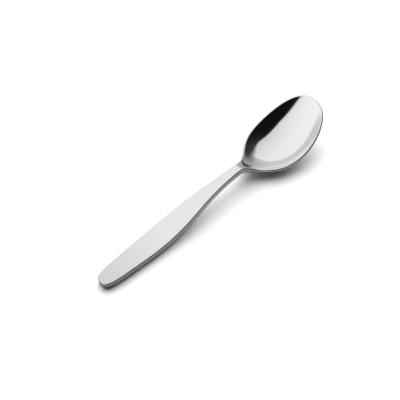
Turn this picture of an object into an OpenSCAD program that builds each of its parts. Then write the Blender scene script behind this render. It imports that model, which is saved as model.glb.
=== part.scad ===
// Coffee spoon stamped from one blank of polished steel.
// It lies along X, the bowl towards +X and hollow side up, with the middle of its length
// at x = 0. It rests on the table, z = 0, on the flat of its handle and on its belly.

/* [Length] */
// Length from the end of the handle to the tip of the bowl
length = 130; // [118:1:150]
// Length of the bowl, from its shoulders to its tip
bowl_l = 45; // [40:1:50]

/* [Handle] */
// Width of the handle at its widest place
handle_w = 12.4; // [10:0.1:14]
// Distance of that place from the end of the handle
handle_wide_at = 30; // [24:1:38]
// Width of the handle between the rounded corners of its end
end_w = 7.3; // [6:0.1:8.5]
// How far the middle of the end bulges past those corners
end_bulge = 1.6; // [1.3:0.1:2]
// Width of the neck at its narrowest place
neck_w = 4.9; // [3.8:0.1:5.6]
// Distance of that place from the shoulders of the bowl
neck_l = 5.8; // [5:0.1:10]
// Width between the shoulders of the bowl
shoulder_w = 6.5; // [5.7:0.1:7.5]
// Length of the handle that lies flat on the table
flat_l = 21; // [16:1:26]

/* [Bowl] */
// Width of the bowl at its widest place
bowl_w = 30; // [26:0.1:32]
// Distance of its deepest place from the shoulders
deep_l = 17; // [15:0.5:19]
// Distance of the lowest place of its rim from the shoulders
low_l = 7.2; // [6:0.2:9]
// Width of the flat land of the rim
rim_land = 0.15; // [0.1:0.05:0.4]
// Length of the rounded crease where the handle's flat top ends
crease_l = 2; // [1.4:0.1:3]

/* [Heights] */
// Height of the top of the neck
neck_top = 8.7; // [7:0.1:11]
// Height of the rim at its lowest place
rim_low = 4.6; // [4.4:0.1:5.5]
// Height of the rim at the tip
tip_top = 14.8; // [12:0.1:16]

/* [Thickness] */
// Thickness of the handle
handle_t = 3.2; // [2.6:0.1:3.6]
// Thickness of the neck
neck_t = 2.8; // [2.2:0.1:3.2]
// Thickness of the bowl's wall
bowl_t = 1.1; // [0.95:0.05:1.3]
// Radius of the upper edge
edge_r = 0.7; // [0.5:0.05:0.7]

/* [Hidden] */

// Distance of the crease behind the shoulders of the bowl
crease_back = 0.3;
// Places along the length
bowl_x = length - bowl_l;
neck_x = bowl_x - neck_l;
low_x = bowl_x + low_l;
crease_x = bowl_x - crease_back;
deep_x = bowl_x + deep_l;
hollow_end = length - edge_r - rim_land;

// Radius of the lower edge, as a share of the thickness
under_share = 0.25;
// How much fuller than a parabola the bowl's cross-section is
fullness = 0.3;
// Power of the distance with which the bowl's floor climbs to the crease
heel_power = 5;

// Outline of the handle's end, on the way to its corner: share of the bulge, share of the width
end_round = [0.24, 0.7];
// Outline from the end to the widest place of the handle: share of the way, share of the widening
grip = [[0.12, 0.4], [0.47, 0.73]];
// Outline from there to the neck: share of the way, share of the narrowing
taper = [[0.34, 0.14], [0.68, 0.66]];
// Outline of the bowl: share of its length, share of its width
egg = [
    [0.14, 0.575], [0.27, 0.86], [0.42, 0.995], [0.6, 1],
    [0.78, 0.867], [0.92, 0.606], [0.98, 0.314]
];

// Steps of the mesh: between two outline points, across the top and the underside, round an edge
span_steps = 5;
top_steps = 18;
under_steps = 14;
edge_steps = 3;
// Share of a span left between each end of the outline and the nearest section
end_share = 0.12;

// A smooth step from 0 to 1 without a jump in its slope or its bend
function ease(t) =
    let (s = max(0, min(1, t)))
    s * s * s * (s * (6 * s - 15) + 10);

// The point a share s.x of the way from a to b along X, and s.y of the way along Y
function between(a, b, s) = [a.x + (b.x - a.x) * s.x, a.y + (b.y - a.y) * s.y];

// Half of the outline, from the middle of the handle's end to the tip
corner = [end_bulge, end_w / 2];
widest = [handle_wide_at, handle_w / 2];
neck = [neck_x, neck_w / 2];
half_outline = concat(
    [[0, 0], between([0, 0], corner, end_round), corner],
    [for (s = grip) between(corner, widest, s)],
    [widest],
    [for (s = taper) between(widest, neck, s)],
    [neck, [bowl_x, shoulder_w / 2]],
    [for (s = egg) between([bowl_x, 0], [length, bowl_w / 2], s)],
    [[length, 0]]
);
last = len(half_outline) - 1;

// The nearest points of the other half carry the curve through both ends
extra = 3;
function across(p) = [p.x, -p.y];
rail = concat(
    [for (i = [extra:-1:1]) across(half_outline[i])],
    half_outline,
    [for (i = [1:extra]) across(half_outline[last - i])]
);

// Knots of a smooth curve through p: they advance by the root of the distance
function knots(p, i = 0, sum = 0) =
    i == len(p) - 1 ? [sum]
    : concat([sum], knots(p, i + 1, sum + sqrt(norm(p[i + 1] - p[i]))));

// The bends of the natural cubic curve through p solve one three-term equation for each point.
// This sweep takes each equation's first term away, from the first point to the last.
function swept(p, u, i = 1, c = 0, d = [0, 0]) =
    i == len(p) - 1 ? []
    : let (
        before = u[i] - u[i - 1],
        after = u[i + 1] - u[i],
        turn = 6 * ((p[i + 1] - p[i]) / after - (p[i] - p[i - 1]) / before),
        pivot = 2 * (before + after) - before * c,
        c_next = after / pivot,
        d_next = (turn - before * d) / pivot
    )
    concat([[c_next, d_next]], swept(p, u, i + 1, c_next, d_next));

// The swept equations, solved from the last to the first
function solved(rows, i = 0) =
    i == len(rows) ? [[0, 0]]
    : let (rest = solved(rows, i + 1))
    concat([rows[i][1] - rows[i][0] * rest[0]], rest);

rail_u = knots(rail);
rail_bend = concat([[0, 0]], solved(swept(rail, rail_u)));

// Point of the curve a share f of the way from point i to the next, and its direction there
function rail_point(i, f) =
    let (w = rail_u[i + 1] - rail_u[i], g = 1 - f)
    g * rail[i] + f * rail[i + 1]
    + w * w / 6 * ((g * g * g - g) * rail_bend[i] + (f * f * f - f) * rail_bend[i + 1]);
function rail_way(i, f) =
    let (w = rail_u[i + 1] - rail_u[i], g = 1 - f)
    (rail[i + 1] - rail[i]) / w
    + w / 6 * ((3 * f * f - 1) * rail_bend[i + 1] - (3 * g * g - 1) * rail_bend[i]);

// The point p of the outline moved inward by d
function inset(p, way, d) = p + d / norm(way) * [way.y, -way.x];

// Height of the handle's top and of the rim: up to the neck, down to the low place
// behind it and up again to the tip
function rim_z(x) =
    handle_t
    + (neck_top - handle_t) * ease((x - flat_l) / (neck_x - flat_l))
    - (neck_top - rim_low) * ease((x - neck_x) / (low_x - neck_x))
    + 2 * (tip_top - rim_low) * ease((x - low_x) / (length - low_x) / 2);

function thickness(x) =
    handle_t
    - (handle_t - neck_t) * ease((x - flat_l) / (neck_x - flat_l))
    - (neck_t - bowl_t) * pressed(x);

// Share of the bowl's depth and of its thin wall that the underside has reached at x
function pressed(x) = ease((x - crease_x) / (low_x - crease_x));

// Height of the bowl's floor along its middle: a parabola about the deepest place that
// meets the rim at the tip, and a steeper climb from there back to the crease
ahead = hollow_end - deep_x;
behind = deep_x - crease_x;
climb = rim_z(hollow_end) - bowl_t;
heel = rim_z(crease_x) - bowl_t - climb * pow(behind / ahead, 2);
function floor_z(x) =
    bowl_t + climb * pow((x - deep_x) / ahead, 2)
    + heel * pow(max(0, deep_x - x) / behind, heel_power);

// Depth of the bowl below its rim in the middle
function depth(x) = max(0, rim_z(x) - floor_z(x));

// Share of that depth at y, between the bowl's two sides, y = half and y = -half
function bowed(half, y) =
    let (share = pow(y / half, 2))
    max(0, 1 - share) * (1 + fullness * share);

// The sides of the hollow open from the middle of the crease along half an ellipse
function top_z(x, half, y) =
    let (start = min(1, (x - crease_x) / crease_l))
    rim_z(x) - (start > 0 ? depth(x) * bowed(half * sqrt(1 - pow(1 - start, 2)), y) : 0);

// The belly hangs below the two lower edges, which end at half and at the height side_z
function belly_z(x, half, side_z, y) =
    let (lowest = rim_z(x) - thickness(x) - pressed(x) * depth(x))
    side_z - (side_z - lowest) * bowed(half, y);

// How steeply the belly leaves the lower edge at outline point p
function belly_slope(p, way) =
    atan2(2 * (1 + fullness) * pressed(p.x) * depth(p.x), p.y * abs(way.x) / norm(way));

// One side's edge in the section at outline point p, from the land down to the belly
function edge(p, way) =
    let (
        under_r = under_share * thickness(p.x),
        steep = belly_slope(p, way)
    )
    [
        for (k = [0:edge_steps])
            let (a = 90 * k / edge_steps, q = inset(p, way, edge_r * (1 - sin(a))))
            [q.x, q.y, rim_z(q.x) - edge_r * (1 - cos(a))],
        for (k = [0:edge_steps])
            let (
                a = 90 - (90 - steep) * k / edge_steps,
                q = inset(p, way, under_r * (1 - sin(a)))
            )
            [q.x, q.y, rim_z(q.x) - thickness(q.x) + under_r * (1 - cos(a))]
    ];

// One section of the spoon at outline point p: across the top from left to right,
// round the right edge, back across the underside and up round the left edge
function section(p, way) =
    let (
        land = inset(p, way, edge_r + rim_land),
        left = edge(p, way),
        low = left[len(left) - 1]
    )
    concat(
        [for (k = [0:top_steps])
            let (y = land.y * (1 - 2 * k / top_steps))
            [land.x, y, top_z(land.x, land.y, y)]],
        [for (q = left) [q.x, -q.y, q.z]],
        [for (k = [1:under_steps - 1])
            let (y = low.y * (2 * k / under_steps - 1))
            [low.x, y, belly_z(low.x, low.y, low.z, y)]],
        [for (k = [len(left) - 1:-1:0]) left[k]]
    );

// Every section from the handle's end to the tip
places = [
    for (i = [extra:extra + last - 1], k = [0:span_steps - 1])
        [i, i == extra && k == 0 ? end_share : k / span_steps],
    [extra + last - 1, 1 - end_share]
];
sections = [for (at = places) section(rail_point(at[0], at[1]), rail_way(at[0], at[1]))];

// Faces that close a section whose points start at number first: a fan over the top, a strip
// down between the two edges and, from the edges' last points but one, a fan over the underside
function cap(first, n) =
    let (
        e = 2 * (edge_steps + 1),
        right = first + top_steps + 1,
        left = first + n - 1
    )
    [
        for (j = [0:top_steps]) [left, first + j, first + j + 1],
        for (k = [0:e - 3]) each [
            [right + k, right + k + 1, left - k - 1],
            [right + k, left - k - 1, left - k]
        ],
        for (j = [0:under_steps]) [left - e + 2, right + e - 2 + j, right + e - 1 + j]
    ];
function flipped(faces) = [for (f = faces) [f[2], f[1], f[0]]];

// The skin over the sections, closed at both ends
module skin(rings) {
    n = len(rings[0]);
    m = len(rings);
    sides = [
        for (i = [0:m - 2], j = [0:n - 1])
            let (a = i * n + j, b = i * n + (j + 1) % n)
            each [[a, b + n, b], [a, a + n, b + n]]
    ];
    faces = concat(cap(0, n), sides, flipped(cap((m - 1) * n, n)));
    polyhedron(points = [for (r = rings) each r], faces = faces, convexity = 6);
}

module spoon() {
    color("silver") translate([-length / 2, 0, 0]) skin(sections);
}

spoon();
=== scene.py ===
import math

import bpy
import numpy as np
from mathutils import Matrix, Vector


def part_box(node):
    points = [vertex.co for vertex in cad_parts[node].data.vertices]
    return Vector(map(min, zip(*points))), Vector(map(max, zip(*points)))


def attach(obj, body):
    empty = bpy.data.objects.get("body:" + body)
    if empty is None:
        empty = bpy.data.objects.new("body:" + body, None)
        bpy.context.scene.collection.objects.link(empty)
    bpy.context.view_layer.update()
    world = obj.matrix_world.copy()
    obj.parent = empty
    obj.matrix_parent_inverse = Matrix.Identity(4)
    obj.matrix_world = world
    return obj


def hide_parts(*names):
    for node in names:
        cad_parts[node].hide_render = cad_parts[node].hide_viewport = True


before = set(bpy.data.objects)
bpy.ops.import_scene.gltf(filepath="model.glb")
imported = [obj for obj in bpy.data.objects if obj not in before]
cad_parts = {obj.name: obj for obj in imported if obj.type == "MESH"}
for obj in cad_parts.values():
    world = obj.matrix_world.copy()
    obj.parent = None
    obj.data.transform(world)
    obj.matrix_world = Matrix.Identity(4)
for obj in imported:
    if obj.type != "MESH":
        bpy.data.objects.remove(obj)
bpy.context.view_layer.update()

# Camera
# A long lens that looks down on the spoon from the side of its handle, turned a little
# about its own axis, so that the spoon lies across the picture from corner to corner.
# Lengths are in metres, and the picture is 400 pixels wide.
AZIMUTH = math.radians(27.748)
ELEVATION = math.radians(53.666)
ROLL = math.radians(-14.689)
DISTANCE = 0.700
TARGET = Vector((-0.004167, 0.004175, 0))
PICTURE_WIDTH = 400
FOCAL_PIXELS = 1532.3

turned = (
    Matrix.Rotation(-AZIMUTH, 4, "Z")
    @ Matrix.Rotation(math.pi / 2 - ELEVATION, 4, "X")
    @ Matrix.Rotation(ROLL, 4, "Z")
)
camera_data = bpy.data.cameras.new("camera")
camera_data.lens = camera_data.sensor_width * FOCAL_PIXELS / PICTURE_WIDTH
camera_data.clip_start = 0.01
camera_data.clip_end = 20
camera = bpy.data.objects.new("camera", camera_data)
camera.matrix_world = Matrix.Translation(TARGET) @ turned @ Matrix.Translation((0, 0, DISTANCE))
bpy.context.scene.collection.objects.link(camera)
bpy.context.scene.camera = camera
bpy.context.scene.view_settings.view_transform = "Standard"

# Spoon
# The real spoon is one piece, stamped from a blank of stainless steel: the handle is cut
# to its outline and bent, the bowl is pressed hollow, and the whole is polished. Sizes are
# in millimetres, with x = 0 at the end of the handle until the mesh is made.
MM = 0.001
low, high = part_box("spoon")
length = (high.x - low.x) / MM

# The handle, from its end to the shoulders of the bowl
handle_w = 12.4
handle_wide_at = 30
end_w = 7.3
end_bulge = 1.6
neck_w = 4.9
neck_l = 5.8
shoulder_w = 6.5
flat_l = 21

# The bowl. Its deepest place and its rim's lowest are measured from its shoulders.
bowl_l = 45
bowl_w = 30
deep_l = 17
low_l = 7.2
rim_land = 0.15
crease_l = 2
crease_back = 0.3
fullness = 0.3
heel_power = 5

# Heights of the neck and of the rim
neck_top = 8.7
rim_low = 4.6
tip_top = 14.8

# The metal's thickness and the roundness of its edges
handle_t = 3.2
neck_t = 2.8
bowl_t = 1.1
edge_r = 0.7
under_share = 0.25

# Places along the length
bowl_x = length - bowl_l
neck_x = bowl_x - neck_l
low_x = bowl_x + low_l
crease_x = bowl_x - crease_back
deep_x = bowl_x + deep_l
hollow_end = length - edge_r - rim_land

# Outline points, each a share of the way along a stretch and of its change of width
END_ROUND = ((0.24, 0.7),)
GRIP = ((0.12, 0.4), (0.47, 0.73))
TAPER = ((0.34, 0.14), (0.68, 0.66))
EGG = (
    (0.14, 0.575), (0.27, 0.86), (0.42, 0.995), (0.6, 1),
    (0.78, 0.867), (0.92, 0.606), (0.98, 0.314),
)


def between(a, b, shares):
    """Points a share of the way from a to b: the first share along x, the second along y."""
    return [(a[0] + (b[0] - a[0]) * s, a[1] + (b[1] - a[1]) * t) for s, t in shares]


def half_outline():
    """Half of the outline, from the middle of the handle's end to the tip."""
    corner = (end_bulge, end_w / 2)
    widest = (handle_wide_at, handle_w / 2)
    neck = (neck_x, neck_w / 2)
    return np.array(
        [(0, 0)] + between((0, 0), corner, END_ROUND) + [corner]
        + between(corner, widest, GRIP) + [widest]
        + between(widest, neck, TAPER) + [neck, (bowl_x, shoulder_w / 2)]
        + between((bowl_x, 0), (length, bowl_w / 2), EGG) + [(length, 0)]
    )


def outline(half, count, gap):
    """The smooth curve through the points of half, and its direction: a natural cubic
    spline whose knots advance by the root of the distance. Three mirrored points past
    each end carry it round the ends. Its count places are even steps of the knots, with
    a gap left at each end."""
    flip = np.array([1, -1])
    points = np.vstack([half[3:0:-1] * flip, half, half[-2:-5:-1] * flip])
    knot = np.r_[0, np.cumsum(np.sqrt(np.hypot(*np.diff(points, axis=0).T)))]
    width = np.diff(knot)
    rise = np.diff(points, axis=0) / width[:, None]
    inner = np.diag(2 * (width[:-1] + width[1:])) + np.diag(width[1:-1], 1) + np.diag(width[1:-1], -1)
    bend = np.zeros_like(points)
    bend[1:-1] = np.linalg.solve(inner, 6 * np.diff(rise, axis=0))
    place = np.linspace(knot[3] + gap, knot[-4] - gap, count)
    i = np.searchsorted(knot, place, side="right") - 1
    w = width[i][:, None]
    f = (place - knot[i])[:, None] / w
    g = 1 - f
    at = g * points[i] + f * points[i + 1]
    at += w**2 / 6 * ((g**3 - g) * bend[i] + (f**3 - f) * bend[i + 1])
    way = (points[i + 1] - points[i]) / w
    way += w / 6 * ((3 * f**2 - 1) * bend[i + 1] - (3 * g**2 - 1) * bend[i])
    return at, way / np.hypot(*way.T)[:, None]


def ease(t):
    """A smooth step from 0 to 1 without a jump in its slope or its bend."""
    s = np.clip(t, 0, 1)
    return s**3 * (s * (6 * s - 15) + 10)


def rim_z(x):
    """Height of the handle's top and of the rim: up to the neck, down to the low place
    behind it and up again to the tip."""
    return (
        handle_t
        + (neck_top - handle_t) * ease((x - flat_l) / (neck_x - flat_l))
        - (neck_top - rim_low) * ease((x - neck_x) / (low_x - neck_x))
        + 2 * (tip_top - rim_low) * ease((x - low_x) / (length - low_x) / 2)
    )


def thickness(x):
    """Thickness of the metal, which thins towards the neck and again into the bowl."""
    return (
        handle_t
        - (handle_t - neck_t) * ease((x - flat_l) / (neck_x - flat_l))
        - (neck_t - bowl_t) * pressed(x)
    )


def pressed(x):
    """Share of the bowl's depth and of its thin wall that the underside has reached."""
    return ease((x - crease_x) / (low_x - crease_x))


def floor_z(x):
    """Height of the bowl's floor along its middle: a parabola about the deepest place
    that meets the rim at the tip. Towards the crease a steeper power is added to it, so
    that it meets the top of the neck."""
    ahead = hollow_end - deep_x
    behind = deep_x - crease_x
    rise = rim_z(hollow_end) - bowl_t
    back = rise * (behind / ahead) ** 2
    heel = rim_z(crease_x) - bowl_t - back
    q = np.maximum(0, deep_x - x) / behind
    return bowl_t + rise * ((x - deep_x) / ahead) ** 2 + heel * q**heel_power


def depth(x):
    """Depth of the bowl below its rim in the middle."""
    return np.maximum(0, rim_z(x) - floor_z(x))


def bowed(half, y):
    """Share of that depth between the bowl's two sides, y = half and y = -half: a
    parabola made a little fuller."""
    share = (y / half) ** 2
    return np.maximum(0, 1 - share) * (1 + fullness * share)


def spoon_grid(sections, gap, across, land, edge, under):
    """Points of the spoon on a grid. A row is one section from side to side, all the way
    round it: over the top, down the right edge, back under it and up the left edge.
    The last four values are the steps over the hollow, a land, each half of an edge
    and the underside. Every height is that of the rim above the point's own x, less
    the drop of the bowl, the roundness of the edge or the thickness."""
    at, way = outline(half_outline(), sections, gap)
    inward = np.stack([way[:, 1], -way[:, 0]], axis=1)

    def inset(distance):
        """The outline moved inward, one column for each distance."""
        moved = at[:, None, :] + distance[..., None] * inward[:, None, :]
        return moved[..., 0], moved[..., 1]

    def chord(x, y, count):
        """Straight rows from (x, y) to (x, -y), closer at both ends than in the middle."""
        share = np.linspace(0, 1, count + 1)
        share = 0.5 * (1 - 2 * share) + 0.5 * np.cos(math.pi * share)
        return x[:, -1:] * np.ones_like(share), y[:, -1:] * share

    ones = np.ones((len(at), 1))
    x_land, y_land = inset(ones * (edge_r + rim_land * np.linspace(0, 1, land + 1)))
    x_top, y_top = chord(x_land, y_land, across)
    start = np.clip((x_top - crease_x) / crease_l, 1e-6, 1)
    side = y_land[:, -1:] * np.sqrt(1 - (1 - start) ** 2)
    z_top = rim_z(x_top) - np.where(x_top > crease_x, depth(x_top) * bowed(side, y_top), 0)

    turn = np.linspace(0, math.pi / 2, edge + 1)
    x_up, y_up = inset(ones * edge_r * (1 - np.sin(turn)))
    z_up = rim_z(x_up) - edge_r * (1 - np.cos(turn))

    x_rim, y_rim = at[:, :1], at[:, 1:]
    rise = 2 * (1 + fullness) * pressed(x_rim) * depth(x_rim)
    steep = np.arctan2(rise, y_rim * np.abs(inward[:, 1:]))
    turn = steep + (math.pi / 2 - steep) * np.linspace(1, 0, edge + 1)
    under_r = under_share * thickness(x_rim)
    x_low, y_low = inset(under_r * (1 - np.sin(turn)))
    z_low = rim_z(x_low) - thickness(x_low) + under_r * (1 - np.cos(turn))

    x_under, y_under = chord(x_low, y_low, under)
    lowest = rim_z(x_under) - thickness(x_under) - pressed(x_under) * depth(x_under)
    z_under = z_low[:, -1:] - (z_low[:, -1:] - lowest) * bowed(y_low[:, -1:], y_under)

    inner = slice(-2, None, -1)
    edges = [
        np.hstack([a[:, inner], b[:, 1:], c])
        for a, b, c in ((x_land, x_up, x_low), (y_land, y_up, y_low), (rim_z(x_land), z_up, z_low))
    ]
    x = np.hstack([x_top, edges[0], x_under[:, 1:-1], edges[0][:, ::-1]])
    y = np.hstack([y_top, -edges[1], -y_under[:, 1:-1], edges[1][:, ::-1]])
    z = np.hstack([z_top, edges[2], z_under[:, 1:-1], edges[2][:, ::-1]])
    return np.stack([x - length / 2, y, z], axis=2)


def closed_skin(rows, count, across, side):
    """Faces over a grid of rows that each close on themselves, and at both ends a strip
    between the row's two sides. Returns four-cornered faces and the ends' larger ones."""
    i, j = np.meshgrid(np.arange(rows - 1) * count, np.arange(count), indexing="ij")
    k = (j + 1) % count
    quads = np.stack([i + j, i + k, i + count + k, i + count + j], axis=2).reshape(-1, 4)
    right = across + 1 + np.arange(side)
    left = count - 1 - np.arange(side)
    strip = np.stack([right[:-2], right[1:-1], left[1:-1], left[:-2]], axis=1)
    over = np.r_[left[0], np.arange(across + 1), right[0]]
    below = np.arange(right[-2], left[-2] + 1)
    end = (rows - 1) * count
    caps = [(c + end).tolist() for c in [*strip, over, below]]
    caps += [c[::-1].tolist() for c in [*strip, over, below]]
    return quads.tolist() + caps


# Steps of the mesh along the spoon, over the hollow, the land, half an edge and the underside,
# and the gap in knots that the outline leaves at each end
SECTIONS = 780
ACROSS = 62
LAND = 3
EDGE = 6
UNDER = 26
END_GAP = 0.02
grid = spoon_grid(SECTIONS, END_GAP, ACROSS, LAND, EDGE, UNDER) * MM
rows, count = grid.shape[:2]
mesh = bpy.data.meshes.new("spoon_steel")
mesh.from_pydata(grid.reshape(-1, 3), [], closed_skin(rows, count, ACROSS, LAND + 2 * EDGE + 1))
mesh.shade_smooth()
spoon = bpy.data.objects.new("spoon_steel", mesh)
bpy.context.scene.collection.objects.link(spoon)


class Wire:
    """A value between shader nodes. Sums on wires add the Math nodes that work them out."""

    def __init__(self, tree, socket=None):
        self.tree = tree
        self.socket = socket

    def add(self, kind, inputs=None, output=0, stops=None, **settings):
        """Adds a node: first its settings and a ramp's stops, then its sockets' values or wires."""
        node = self.tree.nodes.new(kind)
        for name, value in settings.items():
            setattr(node, name, value)
        if stops:
            ramp = node.color_ramp
            while len(ramp.elements) < len(stops):
                ramp.elements.new(1)
            for element, (place, value) in zip(ramp.elements, stops):
                element.position = place
                element.color = (value, value, value, 1)
        for name, value in (inputs or {}).items():
            if isinstance(value, Wire):
                self.tree.links.new(value.socket, node.inputs[name])
            else:
                node.inputs[name].default_value = value
        return Wire(self.tree, node.outputs[output] if len(node.outputs) else None)

    def math(self, operation, *values):
        """Adds a Math node that works on wires or numbers."""
        return self.add("ShaderNodeMath", dict(enumerate(values)), operation=operation)

    def __add__(self, other):
        return self.math("ADD", self, other)

    def __sub__(self, other):
        return self.math("SUBTRACT", self, other)

    def __rsub__(self, other):
        return self.math("SUBTRACT", other, self)

    def __mul__(self, other):
        return self.math("MULTIPLY", self, other)

    def __truediv__(self, other):
        return self.math("DIVIDE", self, other)

    __radd__ = __add__
    __rmul__ = __mul__


def new_material(name):
    """An empty node material and the wire that adds nodes to it."""
    material = bpy.data.materials.new(name)
    material.use_nodes = True
    material.node_tree.nodes.clear()
    return material, Wire(material.node_tree)


# Polished steel, with painted shade: its colour is made a little darker over the last stretch of the
# handle, which dims its reflection there
STEEL_GREY = (0.89, 0.89, 0.89, 1)
SHADED_END_GREY = (0.72, 0.72, 0.72, 1)
SHADED_END_LENGTH = 0.036
steel, wire = new_material("polished_steel")
place = wire.add("ShaderNodeTexCoord", output="Object")
from_end = wire.add("ShaderNodeSeparateXYZ", {"Vector": place}, output="X") - low.x
tone = wire.add(
    "ShaderNodeMix",
    {
        "Factor": wire.math("MINIMUM", from_end / SHADED_END_LENGTH, 1.0),
        "A": SHADED_END_GREY,
        "B": STEEL_GREY,
    },
    output="Result",
    data_type="RGBA",
)

# Hairline scratches from wiping lie in two directions, nearly along the spoon
HAIRLINE_TURNS = (0.25, -0.4)
HAIRLINE_SCALE = (60, 2500, 400)
HAIRLINE_EDGE = ((0.66, 0.0), (0.74, 1.0))
HAIRLINE_DEPTH = 1.5e-6
hairlines = 0.0
for turn in HAIRLINE_TURNS:
    stretched = wire.add(
        "ShaderNodeMapping", {"Vector": place, "Rotation": (0, 0, turn), "Scale": HAIRLINE_SCALE}
    )
    grain = wire.add("ShaderNodeTexNoise", {"Vector": stretched, "Scale": 1.0, "Detail": 2.0})
    hairlines = hairlines + wire.add("ShaderNodeValToRGB", {"Fac": grain}, stops=HAIRLINE_EDGE)

# The polish is uneven in soft clouds, and duller along the hairlines
POLISH = 0.05
CLOUD_SCALE = 90.0
CLOUD_ROUGHNESS = 0.06
HAIRLINE_ROUGHNESS = 0.08
cloud = wire.add("ShaderNodeTexNoise", {"Vector": place, "Scale": CLOUD_SCALE, "Detail": 3.0})
relief = wire.add(
    "ShaderNodeBump",
    {"Height": cloud + hairlines, "Strength": 1.0, "Distance": HAIRLINE_DEPTH},
    invert=True,
)
surface = wire.add(
    "ShaderNodeBsdfPrincipled",
    {
        "Base Color": tone,
        "Metallic": 1.0,
        "Roughness": POLISH + CLOUD_ROUGHNESS * cloud + HAIRLINE_ROUGHNESS * hairlines,
        "Normal": relief,
    },
)
wire.add("ShaderNodeOutputMaterial", {"Surface": surface})
mesh.materials.append(steel)

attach(spoon, "root")
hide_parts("spoon")

# Table
# A plain white table top, matt and far larger than the picture, which keeps the spoon's
# shadow. The camera sees it white, and the steel mirrors it as a grey.
TABLE_HALF = 15.0
TABLE_WHITE = (1, 1, 1, 1)
TABLE_GREY = (0.34, 0.34, 0.34, 1)
corners = [(x * TABLE_HALF, y * TABLE_HALF, 0) for x, y in ((-1, -1), (1, -1), (1, 1), (-1, 1))]
table_mesh = bpy.data.meshes.new("table")
table_mesh.from_pydata(corners, [], [(0, 1, 2, 3)])
table = bpy.data.objects.new("table", table_mesh)
bpy.context.scene.collection.objects.link(table)
white, wire = new_material("white_table")
ray = wire.add("ShaderNodeLightPath", output="Is Camera Ray")
shade = wire.add(
    "ShaderNodeMix",
    {"Factor": ray, "A": TABLE_GREY, "B": TABLE_WHITE},
    output="Result",
    data_type="RGBA",
)
matt = wire.add("ShaderNodeBsdfDiffuse", {"Color": shade})
wire.add("ShaderNodeOutputMaterial", {"Surface": matt})
table_mesh.materials.append(white)

# Studio
# A white tent stands round the table, open towards the camera: the dark room there is the
# black that the polished bowl shows. One wide lamp, low behind the tip of the bowl, lights
# the table and gives the spoon its shadow.
world = bpy.data.worlds.new("studio")
world.use_nodes = True
world.node_tree.nodes.clear()
bpy.context.scene.world = world
wire = Wire(world.node_tree)
direction = wire.add("ShaderNodeTexCoord", output="Generated")
along = wire.add("ShaderNodeSeparateXYZ", {"Vector": direction}, output="X")
away = wire.add("ShaderNodeSeparateXYZ", {"Vector": direction}, output="Y")
height = wire.add("ShaderNodeSeparateXYZ", {"Vector": direction}, output="Z")

# The tent is brightest on its far side and a little darker towards the tip
TENT_LIGHT = 0.7
FAR_GAIN = 0.35
FAR_END = 0.6
TIP_LOSS = 0.12
tent = TENT_LIGHT + FAR_GAIN * wire.math("MINIMUM", away, FAR_END) - TIP_LOSS * along

# Its lower part is darker, most of all past the tip, and past the handle it evens out
SIDE_FROM = 0.4
past_tip = wire.math("MAXIMUM", along - SIDE_FROM, 0.0)
past_handle = wire.math("MAXIMUM", -1 * along - SIDE_FROM, 0.0)
LOWER_SHARE = 0.69
LOWER_LOSS = 2.2
LOSS_FROM = 0.5
LOWER_GAIN = 1.2
LOWER_TILT = 0.15
LOWER_END = ((0.38, 0.0), (0.44, 1.0))
loss = wire.math("MAXIMUM", along - LOSS_FROM, 0.0)
lower = LOWER_SHARE - LOWER_LOSS * loss * loss + LOWER_GAIN * past_handle
lower = wire.math("MINIMUM", lower, 1.0)
upper = wire.add("ShaderNodeValToRGB", {"Fac": height - LOWER_TILT * along}, stops=LOWER_END)
tent = tent * (lower + (1 - lower) * upper)

# Its border runs overhead and bends away from the camera at both ends, where it is softer
BORDER = -0.035
BORDER_BEND_TIP = 1.28
BORDER_BEND_HANDLE = 0.26
SOFT = 0.04
SOFT_TIP = 2.2
SOFT_HANDLE = 0.1
border = BORDER + BORDER_BEND_TIP * past_tip * past_tip + BORDER_BEND_HANDLE * past_handle
soft = SOFT + SOFT_TIP * past_tip * past_tip + SOFT_HANDLE * past_handle
covered = wire.math("MAXIMUM", wire.math("MINIMUM", (away - border) / soft, 1.0), 0.0)

# The room beyond is nearly black, and dim grey near the horizon
ROOM_DARK = 0.005
ROOM_DIM = 0.4
ROOM_TOP = 0.45
room = ROOM_DARK + ROOM_DIM * wire.math("MAXIMUM", 1 - height / ROOM_TOP, 0.0)
mirrored = covered * tent + (1 - covered) * room

# The lamp, which only the table sees
LAMP_TOWARDS = (0.696, 0.649, 0.309)
LAMP_LIGHT = 6.4
LAMP_POWER = 2.2
facing = wire.add(
    "ShaderNodeVectorMath", {0: direction, 1: LAMP_TOWARDS}, output="Value", operation="DOT_PRODUCT"
)
lamp = LAMP_LIGHT * wire.math("POWER", wire.math("MAXIMUM", facing, 0.0), LAMP_POWER)

ray = wire.add("ShaderNodeLightPath", output="Is Camera Ray")
glossy = wire.add("ShaderNodeLightPath", output="Is Glossy Ray")
through = wire.add("ShaderNodeLightPath", output="Is Transmission Ray")
reflected = wire.math("MINIMUM", glossy + through, 1.0)
strength = ray + (1 - ray) * (reflected * mirrored + (1 - reflected) * lamp)
sky = wire.add("ShaderNodeBackground", {"Color": (1, 1, 1, 1), "Strength": strength})
wire.add("ShaderNodeOutputWorld", {"Surface": sky})
